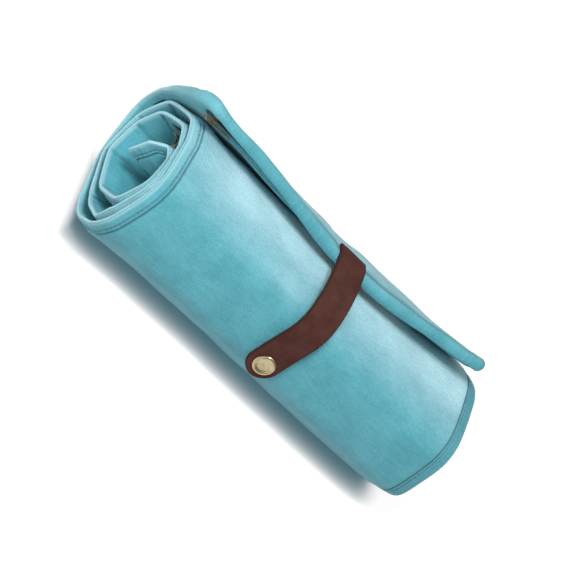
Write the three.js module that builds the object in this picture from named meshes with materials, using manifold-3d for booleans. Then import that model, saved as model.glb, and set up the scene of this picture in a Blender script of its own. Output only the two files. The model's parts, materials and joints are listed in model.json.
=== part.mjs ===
// A padded velvet jewelry mat, rolled up and closed by a leather strap with a brass snap.
// Millimetres, +Z up. The roll lies along X with its front towards -Y, and the end that shows
// the winding is at -X.
import * as THREE from "three";
import { mergeVertices } from "three/addons/utils/BufferGeometryUtils.js";
import Module from "manifold-3d";

const wasm = await Module();
wasm.setup();

// The mat
const MAT_WIDTH = 225;
const MAT_THICKNESS = 5.2;
const LAYER_GAP = 2;
const CORE_RADIUS = 22;
const TURNS = 3;
const TAB_HANG = 22;
const TAB_REACH = 3.5;

// The sides of one turn from the top over the front: the way that each one faces, in degrees,
// and how much further out it lies than a round turn would, as a share of the radius
const SIDES = [
  ["top", 90, -0.065],
  ["front_up", 57, 0.08],
  ["front", 20, 0.05],
  ["front_low", -35, 0.02],
  ["bottom", -90, -0.065],
  ["back_low", -135, 0],
  ["back", -180, 0.06],
  ["back_up", -225, 0],
];

// The flap, which is the mat's outer end
const FLAP_PANELS = 4;
const FLAP_EDGE_TILT = 25;
const FLAP_EDGE_LENGTH = 14.5;
const FLAP_SKEW = -6;

// The strap
const STRAP_WIDTH = 19;
const STRAP_THICKNESS = 2;
const STRAP_X = 3;
const STRAP_SEAM_BACK = 8;
const STRAP_ROOT_TILT = 5;
const STRAP_OFF_MAT = 6;
const STRAP_TIP_MARGIN = 3.6;

// The snap
const CAP_DIAMETER = 12.5;
const CAP_HEIGHT = 1.9;
const SOCKET_DIAMETER = 11;
const SOCKET_HEIGHT = 1.4;
const STUD_FLANGE_DIAMETER = 10;
const STUD_FLANGE_HEIGHT = 0.6;
const STUD_KNOB_DIAMETER = 4.6;
const STUD_KNOB_HEIGHT = 1.2;
const SHANK_DIAMETER = 2.8;
const WASHER_DIAMETER = 9;
const WASHER_HEIGHT = 0.8;
const SNAP_LOW = 7;
const SPARE_STUD_X = 5;
const SPARE_STUD_BACK = 8;
const TURNED_SIDES = 24;

// The zips
const ZIP_MARGIN = 5.5;
const ZIP_STOP = 2;
const TEETH_WIDTH = 1.5;
const TEETH_HEIGHT = 1.2;
const TAPE_SHOWN = 1.6;
const TAPE_THICKNESS = 0.5;
const SLIDER_LENGTH = 8.5;
const SLIDER_WIDTH = 6.4;
const SLIDER_PLATE = 0.7;
const SLIDER_BLADE = 0.5;
const BAIL_INSIDE = 3.9;
const BAIL_WIDTH = 1.6;
const BAIL_WALL = 0.55;
const PULL_LENGTH = 15;
const PULL_WIDTH = 5;
const PULL_THICKNESS = 0.55;

// Clearances
const SEAM = 0.3;
const FIT = 0.3;
const PULL_FIT = 0.2;

const velvet = () => new THREE.MeshStandardMaterial({ color: 0x6fb9c6, roughness: 0.9 });
const leather = () => new THREE.MeshStandardMaterial({ color: 0x4e2f2b, roughness: 0.55 });
const brass = () =>
  new THREE.MeshStandardMaterial({ color: 0xb9aa82, roughness: 0.3, metalness: 1 });
const tapeCloth = () => new THREE.MeshStandardMaterial({ color: 0x3a2a26, roughness: 0.85 });

const pitch = MAT_THICKNESS + LAYER_GAP;
const radians = THREE.MathUtils.degToRad;
const roll = new THREE.Group();
roll.name = "jewelry_roll";
const pivots = {};

// Across the roll a direction is an angle: 0 is the front, 90 up, 180 the back and 270 down.
const outward = (angle) =>
  new THREE.Vector2(-Math.cos(radians(angle)), Math.sin(radians(angle)));
const onward = (angle) =>
  new THREE.Vector2(-Math.sin(radians(angle)), -Math.cos(radians(angle)));

function crossing(a, b) {
  const p = outward(a.angle);
  const q = outward(b.angle);
  const det = p.x * q.y - p.y * q.x;
  return new THREE.Vector2(
    (a.reach * q.y - b.reach * p.y) / det,
    (p.x * b.reach - q.x * a.reach) / det,
  );
}

function solid(geometry) {
  const bare = geometry.clone();
  bare.deleteAttribute("normal");
  bare.deleteAttribute("uv");
  const merged = mergeVertices(bare, 1e-4);
  return new wasm.Manifold(
    new wasm.Mesh({
      numProp: 3,
      vertProperties: new Float32Array(merged.attributes.position.array),
      triVerts: new Uint32Array(merged.index.array),
    }),
  );
}

function surface(body) {
  const made = body.getMesh();
  const geometry = new THREE.BufferGeometry();
  geometry.setAttribute("position", new THREE.BufferAttribute(made.vertProperties, 3));
  geometry.setIndex(new THREE.BufferAttribute(made.triVerts, 1));
  geometry.computeVertexNormals();
  return geometry;
}

function addMesh(name, geometry, material, parent = roll) {
  const mesh = new THREE.Mesh(geometry, material);
  mesh.name = name;
  parent.add(mesh);
  return mesh;
}

// A prism along X whose section is given across the roll, as points of Y and Z.
function prism(points, width, middle = 0) {
  const shape = new THREE.Shape(points);
  const geometry = new THREE.ExtrudeGeometry(shape, { depth: width, bevelEnabled: false });
  const axes = new THREE.Matrix4().makeBasis(
    new THREE.Vector3(0, 1, 0),
    new THREE.Vector3(0, 0, 1),
    new THREE.Vector3(1, 0, 0),
  );
  geometry.applyMatrix4(axes);
  geometry.translate(middle - width / 2, 0, 0);
  return geometry;
}

// A group that stands on a point of the section, with its Z along an outward direction.
function seat(point, direction, x, parent = roll) {
  const z = new THREE.Vector3(0, direction.x, direction.y);
  const along = new THREE.Vector3(1, 0, 0);
  const y = new THREE.Vector3().crossVectors(z, along);
  const group = new THREE.Group();
  group.quaternion.setFromRotationMatrix(new THREE.Matrix4().makeBasis(along, y, z));
  group.position.set(x, point.x, point.y);
  parent.add(group);
  return group;
}

// Where a piece turns: a point of the section, on an axis along X.
function addPivot(name, point) {
  pivots[name] = new THREE.Vector3(0, point.x, point.y);
}

// A turned piece with its axis along Z.
function turned(profile) {
  const points = profile.map(([r, z]) => new THREE.Vector2(r, z));
  const geometry = new THREE.LatheGeometry(points, TURNED_SIDES);
  geometry.rotateX(Math.PI / 2);
  return geometry;
}

// Panel 0 lies at the top of the core; the numbers grow outwards along the mat to the flap's edge.
const lastPanel = TURNS * SIDES.length;
const rootPanel = lastPanel - FLAP_PANELS;
const turnNames = ["inner", "middle", "outer"];
const flapNames = ["flap_low", "flap_back", "flap_up", "flap_edge"];

function panelName(k) {
  if (k === 0) return "core_top";
  if (k > rootPanel) return flapNames[k - rootPanel - 1];
  const turn = Math.floor(k / SIDES.length);
  return `${turnNames[turn]}_${SIDES[k % SIDES.length][0]}`;
}

const panels = [];
for (let k = 0; k <= lastPanel; k += 1) {
  const [, facing, swell] = SIDES[k % SIDES.length];
  const angle = facing - 360 * Math.floor(k / SIDES.length);
  const round = CORE_RADIUS + (pitch * (90 - angle)) / 360;
  panels.push({
    name: panelName(k),
    angle,
    reach: round * (1 + swell),
    skew: Math.max(0, k - rootPanel) * (FLAP_SKEW / FLAP_PANELS),
  });
}

// The flap's edge starts one gap above the turn below it and rises towards the front.
const under = (panel) => ({ angle: panel.angle, reach: panel.reach - MAT_THICKNESS });
const beneath = panels[lastPanel - SIDES.length];
const edgePanel = panels[lastPanel];
const edgeStart = crossing(under(panels[lastPanel - 1]), {
  angle: beneath.angle,
  reach: beneath.reach + LAYER_GAP,
});
edgePanel.angle += FLAP_EDGE_TILT;
edgePanel.reach = edgeStart.dot(outward(edgePanel.angle)) + MAT_THICKNESS;

// The mat's inner end hangs down from the top of the core, facing the front.
const tab = { name: "core_tab", angle: 180, reach: TAB_REACH, skew: 0 };
const mat = [tab, ...panels];

// Each panel meets its neighbours in a mitre, so a crease opens without the panels touching.
function mitred(chain, k, thickness, startLength, endLength) {
  const panel = chain[k];
  const way = onward(panel.angle);
  const lower = (p) => ({ angle: p.angle, reach: p.reach - thickness });
  const end = (sign, freeLength) => {
    const other = chain[k + sign];
    if (!other) {
      const tip = crossing(panel, chain[k - sign]).addScaledVector(way, sign * freeLength);
      return [tip, tip.clone().addScaledVector(outward(panel.angle), -thickness)];
    }
    const half = radians(Math.abs(other.angle - panel.angle)) / 2;
    const inset = (-sign * SEAM) / 2 / Math.cos(half);
    const corners = [crossing(panel, other), crossing(lower(panel), lower(other))];
    return corners.map((p) => p.addScaledVector(way, inset));
  };
  const [startOuter, startInner] = end(-1, startLength);
  const [endOuter, endInner] = end(1, endLength);
  return [startOuter, endOuter, endInner, startInner];
}

const halfway = (p, q) => p.clone().lerp(q, 0.5);

mat.forEach((panel, k) => {
  if (flapNames.includes(panel.name)) addPivot(panel.name, crossing(mat[k - 1], panel));
  const edge = mitred(mat, k, MAT_THICKNESS, TAB_HANG, FLAP_EDGE_LENGTH);
  panel.outline = edge;
  panel.outerMiddle = halfway(edge[0], edge[1]);
  panel.innerMiddle = halfway(edge[2], edge[3]);
});
const panelOf = (name) => mat.find((panel) => panel.name === name);

// The zips lie in recesses of the lining. Heights are counted from the lining's face.
const bailHeight = PULL_THICKNESS + 2 * PULL_FIT + BAIL_WALL;
const plateTop = LAYER_GAP - FIT - bailHeight;
const teethTop = plateTop - SLIDER_PLATE - FIT;
const teethBottom = teethTop - TEETH_HEIGHT;
const recessFloor = teethBottom - FIT - SLIDER_PLATE - FIT;
const rowGap = SLIDER_BLADE + 2 * FIT;
const rowMiddle = (rowGap + TEETH_WIDTH) / 2;
const tapeMiddle = rowGap / 2 + TEETH_WIDTH + FIT + TAPE_SHOWN / 2;
const recessWidth = 2 * (tapeMiddle + TAPE_SHOWN / 2 + FIT);
const zipLength = MAT_WIDTH - 2 * ZIP_MARGIN;
const sliderStart = -zipLength / 2 + SLIDER_LENGTH / 2 + ZIP_STOP;
const zips = { flap: "flap_edge", back: "flap_back", core: "inner_back_up" };

function zipRecess() {
  const height = LAYER_GAP - recessFloor;
  const geometry = new THREE.BoxGeometry(zipLength + 2 * FIT, recessWidth, height);
  return geometry.translate(0, 0, recessFloor + height / 2);
}

// A plate with a blunt nose, as a slider's two plates have.
function sliderPlate(bottom) {
  const nose = SLIDER_WIDTH / 4;
  const outline = new THREE.Shape();
  outline.moveTo(-SLIDER_LENGTH / 2, -SLIDER_WIDTH / 2 + nose / 2);
  outline.lineTo(SLIDER_LENGTH / 2 - nose, -SLIDER_WIDTH / 2);
  outline.quadraticCurveTo(SLIDER_LENGTH / 2, -SLIDER_WIDTH / 2, SLIDER_LENGTH / 2, -nose);
  outline.lineTo(SLIDER_LENGTH / 2, nose);
  outline.quadraticCurveTo(
    SLIDER_LENGTH / 2,
    SLIDER_WIDTH / 2,
    SLIDER_LENGTH / 2 - nose,
    SLIDER_WIDTH / 2,
  );
  outline.lineTo(-SLIDER_LENGTH / 2, SLIDER_WIDTH / 2 - nose / 2);
  const plate = new THREE.ExtrudeGeometry(outline, {
    depth: SLIDER_PLATE,
    bevelEnabled: false,
    curveSegments: 5,
  });
  return solid(plate.translate(0, 0, bottom));
}

const bailReach = BAIL_INSIDE / 2 + BAIL_WALL;

function sliderShape() {
  const lowTop = teethBottom - FIT;
  const upper = sliderPlate(plateTop - SLIDER_PLATE);
  const lower = sliderPlate(lowTop - SLIDER_PLATE);
  const bladeHeight = plateTop - lowTop + SLIDER_PLATE;
  const blade = new THREE.BoxGeometry(SLIDER_LENGTH / 3, SLIDER_BLADE, bladeHeight);
  blade.translate(SLIDER_LENGTH / 4, 0, plateTop - bladeHeight / 2);
  const arch = new THREE.Shape();
  arch.moveTo(-bailReach, plateTop - SLIDER_PLATE / 2);
  arch.lineTo(-bailReach, plateTop + bailHeight - BAIL_WALL);
  arch.lineTo(-bailReach + BAIL_WALL, plateTop + bailHeight);
  arch.lineTo(bailReach - BAIL_WALL, plateTop + bailHeight);
  arch.lineTo(bailReach, plateTop + bailHeight - BAIL_WALL);
  arch.lineTo(bailReach, plateTop - SLIDER_PLATE / 2);
  arch.lineTo(BAIL_INSIDE / 2, plateTop - SLIDER_PLATE / 2);
  arch.lineTo(BAIL_INSIDE / 2, plateTop + bailHeight - BAIL_WALL);
  arch.lineTo(-BAIL_INSIDE / 2, plateTop + bailHeight - BAIL_WALL);
  arch.lineTo(-BAIL_INSIDE / 2, plateTop - SLIDER_PLATE / 2);
  const bail = new THREE.ExtrudeGeometry(arch, { depth: BAIL_WIDTH, bevelEnabled: false });
  bail.rotateX(Math.PI / 2);
  bail.translate(0, BAIL_WIDTH / 2, 0);
  return surface(upper.add(lower).add(solid(blade)).add(solid(bail)));
}

// The pull turns on a square bar under the bail. It is drawn flat, pointing along +X.
function pullShape() {
  const bar = PULL_THICKNESS / 2;
  const eyeEnd = Math.hypot(bailReach, bailHeight) + FIT;
  const eyeHalf = BAIL_WIDTH / 2 + FIT;
  const plate = new THREE.Shape();
  plate.moveTo(-bar, -PULL_WIDTH / 2);
  plate.lineTo(PULL_LENGTH - PULL_WIDTH / 2, -PULL_WIDTH / 2);
  plate.absarc(PULL_LENGTH - PULL_WIDTH / 2, 0, PULL_WIDTH / 2, -Math.PI / 2, Math.PI / 2);
  plate.lineTo(-bar, PULL_WIDTH / 2);
  const eye = new THREE.Path();
  eye.moveTo(bar, -eyeHalf);
  eye.lineTo(bar, eyeHalf);
  eye.lineTo(eyeEnd, eyeHalf);
  eye.lineTo(eyeEnd, -eyeHalf);
  plate.holes.push(eye);
  const geometry = new THREE.ExtrudeGeometry(plate, {
    depth: PULL_THICKNESS,
    bevelEnabled: false,
    curveSegments: 10,
  });
  return geometry.translate(0, 0, -PULL_THICKNESS / 2);
}

function addZip(label, panel) {
  const lining = panel.lining;
  const teethZ = (teethTop + teethBottom) / 2;
  [-1, 1].forEach((side) => {
    const row = side < 0 ? "lower" : "upper";
    const tape = new THREE.BoxGeometry(zipLength, TAPE_SHOWN, TAPE_THICKNESS);
    const tapeMesh = addMesh(`zip_${label}_tape_${row}`, tape, tapeCloth(), lining);
    tapeMesh.position.set(0, side * tapeMiddle, teethZ);
    const teeth = new THREE.BoxGeometry(zipLength, TEETH_WIDTH, TEETH_HEIGHT);
    const teethMesh = addMesh(`zip_${label}_teeth_${row}`, teeth, brass(), lining);
    teethMesh.position.set(0, side * rowMiddle, teethZ);
  });
  const slider = addMesh(`zip_${label}_slider`, sliderShape(), brass(), lining);
  slider.position.x = sliderStart;
  const pull = addMesh(`zip_${label}_pull`, pullShape(), brass(), lining);
  pull.position.set(sliderStart, 0, plateTop + PULL_FIT + PULL_THICKNESS / 2);
  const hangs = label === "core";
  if (hangs) {
    pull.rotation.y = -Math.PI / 2;
    pivots[pull.name] = pull.localToWorld(new THREE.Vector3());
  }
}

// The snap: a cap and a socket on the strap, and a stud and a washer on the mat.
const socketStack = FIT + STUD_FLANGE_HEIGHT + FIT;
const strapStandoff = socketStack + SOCKET_HEIGHT + FIT;
const shankHole = SHANK_DIAMETER / 2 + FIT;

function capProfile() {
  const r = CAP_DIAMETER / 2;
  const shank = FIT + STRAP_THICKNESS + FIT;
  return [
    [0, -shank],
    [SHANK_DIAMETER / 2, -shank],
    [SHANK_DIAMETER / 2, 0],
    [r * 0.96, 0],
    [r, CAP_HEIGHT * 0.3],
    [r * 0.95, CAP_HEIGHT * 0.75],
    [r * 0.84, CAP_HEIGHT],
    [r * 0.74, CAP_HEIGHT * 0.86],
    [0, CAP_HEIGHT * 0.86],
  ];
}

function socketProfile() {
  const r = SOCKET_DIAMETER / 2;
  const mouth = STUD_KNOB_DIAMETER / 2 + FIT;
  return [
    [mouth, 0],
    [r * 0.75, 0],
    [r, SOCKET_HEIGHT * 0.6],
    [r, SOCKET_HEIGHT],
    [mouth, SOCKET_HEIGHT],
    [mouth, 0],
  ];
}

function studProfile() {
  const r = STUD_FLANGE_DIAMETER / 2;
  const knob = STUD_KNOB_DIAMETER / 2;
  const top = STUD_FLANGE_HEIGHT + STUD_KNOB_HEIGHT;
  const shank = FIT + MAT_THICKNESS + FIT + WASHER_HEIGHT;
  return [
    [0, -shank],
    [SHANK_DIAMETER / 2, -shank],
    [SHANK_DIAMETER / 2, 0],
    [r, 0],
    [r, STUD_FLANGE_HEIGHT * 0.5],
    [r * 0.8, STUD_FLANGE_HEIGHT],
    [knob * 0.85, STUD_FLANGE_HEIGHT],
    [knob, STUD_FLANGE_HEIGHT + STUD_KNOB_HEIGHT * 0.5],
    [knob * 0.7, top],
    [0, top],
  ];
}

function washerProfile() {
  return [
    [shankHole, 0],
    [WASHER_DIAMETER / 2, 0],
    [WASHER_DIAMETER / 2, WASHER_HEIGHT],
    [shankHole, WASHER_HEIGHT],
    [shankHole, 0],
  ];
}

// A point of a panel's outer face, a distance further along the mat than its middle.
const onPanel = (panel, further) =>
  panel.outerMiddle.clone().addScaledVector(onward(panel.angle), further);

const studs = [
  { label: "snap", panel: panelOf("outer_front"), further: SNAP_LOW, x: STRAP_X },
  { label: "spare", panel: panelOf("outer_top"), further: -SPARE_STUD_BACK, x: SPARE_STUD_X },
];

function drill(group, radius, low, high) {
  const hole = new THREE.CylinderGeometry(radius, radius, high - low, TURNED_SIDES);
  hole.rotateX(Math.PI / 2);
  hole.translate(0, 0, (low + high) / 2);
  group.updateMatrixWorld(true);
  return solid(hole.applyMatrix4(group.matrixWorld));
}

function addStud(stud) {
  const direction = outward(stud.panel.angle);
  const base = seat(onPanel(stud.panel, stud.further), direction, stud.x);
  const knob = addMesh(`${stud.label}_stud`, turned(studProfile()), brass(), base);
  knob.position.z = FIT;
  const washer = addMesh(`${stud.label}_washer`, turned(washerProfile()), brass(), base);
  washer.position.z = -MAT_THICKNESS - FIT - WASHER_HEIGHT;
  stud.panel.hole = drill(base, shankHole, -2 * MAT_THICKNESS, MAT_THICKNESS);
}

studs.forEach(addStud);

mat.forEach((panel) => {
  let body = solid(prism(panel.outline, MAT_WIDTH, panel.skew));
  if (panel.hole) body = body.subtract(panel.hole);
  if (Object.values(zips).includes(panel.name)) {
    panel.lining = seat(panel.innerMiddle, outward(panel.angle).negate(), panel.skew);
    panel.lining.updateMatrixWorld(true);
    body = body.subtract(solid(zipRecess().applyMatrix4(panel.lining.matrixWorld)));
  }
  addMesh(panel.name, surface(body), velvet());
});

Object.entries(zips).forEach(([label, name]) => addZip(label, panelOf(name)));

// The strap leaves a seam on the flap's edge, bridges to the front and runs down it to the snap.
const snapPanel = studs[0].panel;
const flapEdge = panelOf("flap_edge");
const onFlap = flapEdge.outline[1].clone().addScaledVector(outward(flapEdge.angle), FIT);
onFlap.addScaledVector(outward(flapEdge.angle), STRAP_THICKNESS);
const upright = (angle) => THREE.MathUtils.euclideanModulo(angle, 360);
const rootAngle = 90 - STRAP_ROOT_TILT;
const alongFront = panelOf("outer_front_up");
const strap = [
  { name: "strap_anchor", angle: upright(flapEdge.angle), reach: onFlap.dot(outward(flapEdge.angle)) },
  { name: "strap_root", angle: rootAngle, reach: onFlap.dot(outward(rootAngle)) },
  {
    name: "strap_mid",
    angle: upright(alongFront.angle),
    reach: alongFront.reach + STRAP_OFF_MAT + STRAP_THICKNESS,
  },
  {
    name: "strap_tip",
    angle: upright(snapPanel.angle),
    reach: snapPanel.reach + strapStandoff + STRAP_THICKNESS,
  },
];
const snapSeat = seat(onPanel(snapPanel, SNAP_LOW), outward(snapPanel.angle), STRAP_X);
const tipRadius = STRAP_WIDTH / 2;
const tipReach = CAP_DIAMETER / 2 + STRAP_TIP_MARGIN;

strap.forEach((part, k) => {
  const snapPoint = onPanel(snapPanel, SNAP_LOW + tipReach);
  const corner = crossing(part, strap[k - 1] ?? strap[k + 1]);
  const length = snapPoint.clone().sub(corner).dot(onward(part.angle));
  const outline = mitred(strap, k, STRAP_THICKNESS, STRAP_SEAM_BACK, length);
  let body = solid(prism(outline, STRAP_WIDTH, STRAP_X));
  if (part.name === "strap_tip") {
    const round = new THREE.Shape();
    const straight = 4 * STRAP_WIDTH;
    round.moveTo(-tipRadius, straight);
    round.lineTo(-tipRadius, tipRadius - tipReach);
    round.absarc(0, tipRadius - tipReach, tipRadius, Math.PI, 2 * Math.PI);
    round.lineTo(tipRadius, straight);
    const depth = 4 * (strapStandoff + STRAP_THICKNESS);
    const blank = new THREE.ExtrudeGeometry(round, {
      depth,
      bevelEnabled: false,
      curveSegments: 16,
    });
    snapSeat.updateMatrixWorld(true);
    body = body.intersect(solid(blank.applyMatrix4(snapSeat.matrixWorld)));
    body = body.subtract(drill(snapSeat, shankHole, 0, depth));
  }
  addMesh(part.name, surface(body), leather());
  if (k > 0) addPivot(part.name, corner);
});

const cap = addMesh("snap_cap", turned(capProfile()), brass(), snapSeat);
cap.position.z = strapStandoff + STRAP_THICKNESS + FIT;
const socket = addMesh("snap_socket", turned(socketProfile()), brass(), snapSeat);
socket.position.z = socketStack;

// The origin is under the middle of the roll, on the surface that it rests on.
const box = new THREE.Box3().setFromObject(roll);
const origin = box.getCenter(new THREE.Vector3()).setZ(box.min.z);
roll.children.forEach((child) => child.position.sub(origin));
Object.values(pivots).forEach((pivot) => pivot.sub(origin));
roll.userData.pivots = pivots;

export default roll;
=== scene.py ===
import json
import math

import bpy
import numpy as np
from mathutils import Matrix, Vector


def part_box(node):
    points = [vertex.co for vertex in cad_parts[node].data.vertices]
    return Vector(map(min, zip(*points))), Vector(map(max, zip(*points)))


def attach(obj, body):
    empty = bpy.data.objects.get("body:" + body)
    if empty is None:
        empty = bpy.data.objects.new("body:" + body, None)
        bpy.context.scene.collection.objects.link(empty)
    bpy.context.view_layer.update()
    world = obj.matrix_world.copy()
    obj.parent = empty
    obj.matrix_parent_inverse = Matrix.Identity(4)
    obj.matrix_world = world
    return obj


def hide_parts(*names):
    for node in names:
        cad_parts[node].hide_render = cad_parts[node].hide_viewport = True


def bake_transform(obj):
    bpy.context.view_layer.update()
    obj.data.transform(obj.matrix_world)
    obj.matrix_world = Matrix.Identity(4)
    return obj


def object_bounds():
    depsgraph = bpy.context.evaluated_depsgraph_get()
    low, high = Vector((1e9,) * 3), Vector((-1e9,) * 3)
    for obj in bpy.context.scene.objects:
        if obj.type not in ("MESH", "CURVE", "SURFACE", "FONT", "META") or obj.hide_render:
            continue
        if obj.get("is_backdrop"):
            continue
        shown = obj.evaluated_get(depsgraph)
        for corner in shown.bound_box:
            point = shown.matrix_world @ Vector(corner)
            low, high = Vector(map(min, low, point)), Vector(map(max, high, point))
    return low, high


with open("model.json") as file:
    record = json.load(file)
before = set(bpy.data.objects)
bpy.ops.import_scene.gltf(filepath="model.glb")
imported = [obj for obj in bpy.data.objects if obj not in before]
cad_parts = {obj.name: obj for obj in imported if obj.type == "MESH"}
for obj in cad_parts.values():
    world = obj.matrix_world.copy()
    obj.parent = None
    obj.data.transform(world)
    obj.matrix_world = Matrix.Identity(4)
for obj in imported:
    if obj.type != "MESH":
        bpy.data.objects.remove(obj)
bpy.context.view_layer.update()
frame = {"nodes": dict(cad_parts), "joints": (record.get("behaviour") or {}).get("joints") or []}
scene = bpy.context.scene
mm = 0.001


# camera: the roll seen from its front left, from above, with the picture turned
cameraSet = {
    "azimuth": -37.0,
    "elevation": 42.0,
    "roll": 70.0,
    "distance": 2.5,
    "perPixel": 0.51 * mm,
    "pixels": 576,
    "target": (0.005, 0, 0.040),
    "targetPixel": (284.0, 300.8),
}


def addCamera(s):
    a, e, r = (math.radians(s[k]) for k in ("azimuth", "elevation", "roll"))
    back = Vector((math.sin(a) * math.cos(e), -math.cos(a) * math.cos(e), math.sin(e)))
    level = Vector((math.cos(a), math.sin(a), 0))
    rise = back.cross(level)
    right = level * math.cos(r) + rise * math.sin(r)
    up = rise * math.cos(r) - level * math.sin(r)
    half = s["pixels"] / 2
    px, py = s["targetPixel"]
    aim = Vector(s["target"]) + (right * (half - px) + up * (py - half)) * s["perPixel"]
    place = aim + back * s["distance"]
    data = bpy.data.cameras.new("camera")
    data.lens = 36 * s["distance"] / (s["pixels"] * s["perPixel"])
    data.clip_start, data.clip_end = 0.05, 50
    cam = bpy.data.objects.new("camera", data)
    scene.collection.objects.link(cam)
    turn = Matrix((right, up, back)).transposed().to_4x4()
    cam.matrix_world = Matrix.Translation(place) @ turn
    scene.camera = cam


addCamera(cameraSet)
print("camera set")


# mesh helpers
def addMesh(name, verts, faces, material, smooth=True):
    mesh = bpy.data.meshes.new(name)
    mesh.from_pydata([tuple(v) for v in verts], [], [tuple(f) for f in faces])
    mesh.materials.append(material)
    if smooth:
        mesh.polygons.foreach_set("use_smooth", [True] * len(mesh.polygons))
    mesh.update()
    obj = bpy.data.objects.new(name, mesh)
    scene.collection.objects.link(obj)
    return obj


def addUv(obj, name, perVertex):
    layer = obj.data.uv_layers.new(name=name)
    loops = np.zeros(len(obj.data.loops), np.int32)
    obj.data.loops.foreach_get("vertex_index", loops)
    layer.data.foreach_set("uv", np.asarray(perVertex, np.float32)[loops].ravel())


def ease(t):
    t = np.clip(t, 0, 1)
    return t * t * (3 - 2 * t)


def bump(value, width):
    return np.exp(-(value / width) ** 2)


# the columns of a table or path, read at the lengths given
def pick(values, run, at):
    return np.stack([np.interp(at, run, column) for column in np.asarray(values).T])


def lengthAlong(points):
    return np.concatenate([[0], np.cumsum(np.linalg.norm(np.diff(points, axis=0), axis=1))])


# soft waves in seeded directions
def ripple(u, x, seed, length, waves=14):
    rng = np.random.default_rng(seed)
    total = 0
    for _ in range(waves):
        way = rng.uniform(0, 2 * math.pi)
        k = 2 * math.pi / (length * rng.uniform(0.7, 1.6))
        total = total + np.cos(k * (math.cos(way) * u + math.sin(way) * x) + rng.uniform(0, 2 * math.pi))
    return total / math.sqrt(waves / 2)


# shader helpers
def newGroup(name, values, outputs):
    tree = bpy.data.node_groups.new(name, "ShaderNodeTree")
    tree.interface.new_socket("Vector", in_out="INPUT", socket_type="NodeSocketVector")
    for label, value in values.items():
        socket = tree.interface.new_socket(label, in_out="INPUT", socket_type="NodeSocketFloat")
        socket.default_value = value
    for label in outputs:
        tree.interface.new_socket(label, in_out="OUTPUT", socket_type="NodeSocketFloat")
    return tree, tree.nodes.new("NodeGroupInput").outputs


def setInputs(tree, node, values):
    for label, value in values.items():
        socket = node.inputs[label]
        if isinstance(value, bpy.types.NodeSocket):
            tree.links.new(value, socket)
        else:
            socket.default_value = value


def endGroup(tree, results):
    setInputs(tree, tree.nodes.new("NodeGroupOutput"), results)
    return tree


def addNode(tree, kind, links=(), **values):
    node = tree.nodes.new(kind)
    for key, value in values.items():
        setattr(node, key, value)
    setInputs(tree, node, dict(links))
    return node


def math2(tree, operation, a, b):
    return addNode(tree, "ShaderNodeMath", {0: a, 1: b}, operation=operation).outputs[0]


def mixColour(tree, factor, a, b, mode="MIX"):
    node = addNode(tree, "ShaderNodeMix", {0: factor, 6: a, 7: b}, data_type="RGBA", blend_type=mode)
    return node.outputs[2]


def ramp(tree, value, low, high):
    node = addNode(tree, "ShaderNodeMapRange", {0: value, 1: low, 2: high}, interpolation_type="SMOOTHSTEP")
    return node.outputs[0]


def spread(tree, value, low, high):
    return addNode(tree, "ShaderNodeMapRange", {0: value, 3: low, 4: high}).outputs[0]


def noise(tree, vector, scale, detail, rough):
    links = {"Vector": vector, "Scale": scale, "Detail": detail, "Roughness": rough}
    return addNode(tree, "ShaderNodeTexNoise", links).outputs["Fac"]


def stretched(tree, vector, share):
    return addNode(tree, "ShaderNodeMapping", {"Vector": vector, "Scale": (share, 1.0, 1.0)}).outputs[0]


# nap of the velvet: brushed patches, short streaks and pile grain
def makeNapGroup():
    values = {"Patch Scale": 55.0, "Pile Scale": 1000.0, "Streak": 0.35}
    tree, put = newGroup("clothNap", values, ("Patches", "Pile", "Height"))
    vector = put["Vector"]
    big = ramp(tree, noise(tree, vector, put["Patch Scale"], 4.0, 0.6), 0.3, 0.7)
    streaks = ramp(tree, noise(tree, stretched(tree, vector, 0.35), 420.0, 3.0, 0.6), 0.3, 0.7)
    patches = addNode(tree, "ShaderNodeMix", {0: put["Streak"], 2: big, 3: streaks}).outputs[0]
    pile = noise(tree, vector, put["Pile Scale"], 2.0, 0.7)
    height = math2(tree, "ADD", math2(tree, "MULTIPLY", pile, 0.7), math2(tree, "MULTIPLY", streaks, 0.5))
    return endGroup(tree, {"Patches": patches, "Pile": pile, "Height": height})


# grain of the leather: small closed cells with fine creases
def makeGrainGroup():
    tree, put = newGroup("leatherGrain", {"Cell Scale": 900.0}, ("Tone", "Height"))
    vector = put["Vector"]
    links = {"Vector": vector, "Scale": 300.0, "Detail": 2.0}
    warp = addNode(tree, "ShaderNodeTexNoise", links).outputs["Color"]
    shift = addNode(tree, "ShaderNodeVectorMath", {0: warp, "Scale": 0.0012}, operation="SCALE").outputs[0]
    bent = addNode(tree, "ShaderNodeVectorMath", {0: vector, 1: shift}, operation="ADD").outputs[0]
    links = {"Vector": bent, "Scale": put["Cell Scale"]}
    cells = addNode(tree, "ShaderNodeTexVoronoi", links, feature="DISTANCE_TO_EDGE").outputs["Distance"]
    tone = ramp(tree, noise(tree, vector, 90.0, 5.0, 0.6), 0.25, 0.75)
    return endGroup(tree, {"Tone": tone, "Height": ramp(tree, cells, 0.0, 0.22)})


# handling marks on the metal
def makeWearGroup():
    tree, put = newGroup("metalWear", {"Scale": 500.0}, ("Tarnish", "Scuffs"))
    vector = put["Vector"]
    tarnish = ramp(tree, noise(tree, vector, put["Scale"], 4.0, 0.6), 0.35, 0.75)
    fine = math2(tree, "MULTIPLY", put["Scale"], 9.0)
    scuffs = noise(tree, stretched(tree, vector, 0.15), fine, 2.0, 0.6)
    return endGroup(tree, {"Tarnish": tarnish, "Scuffs": scuffs})


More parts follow.
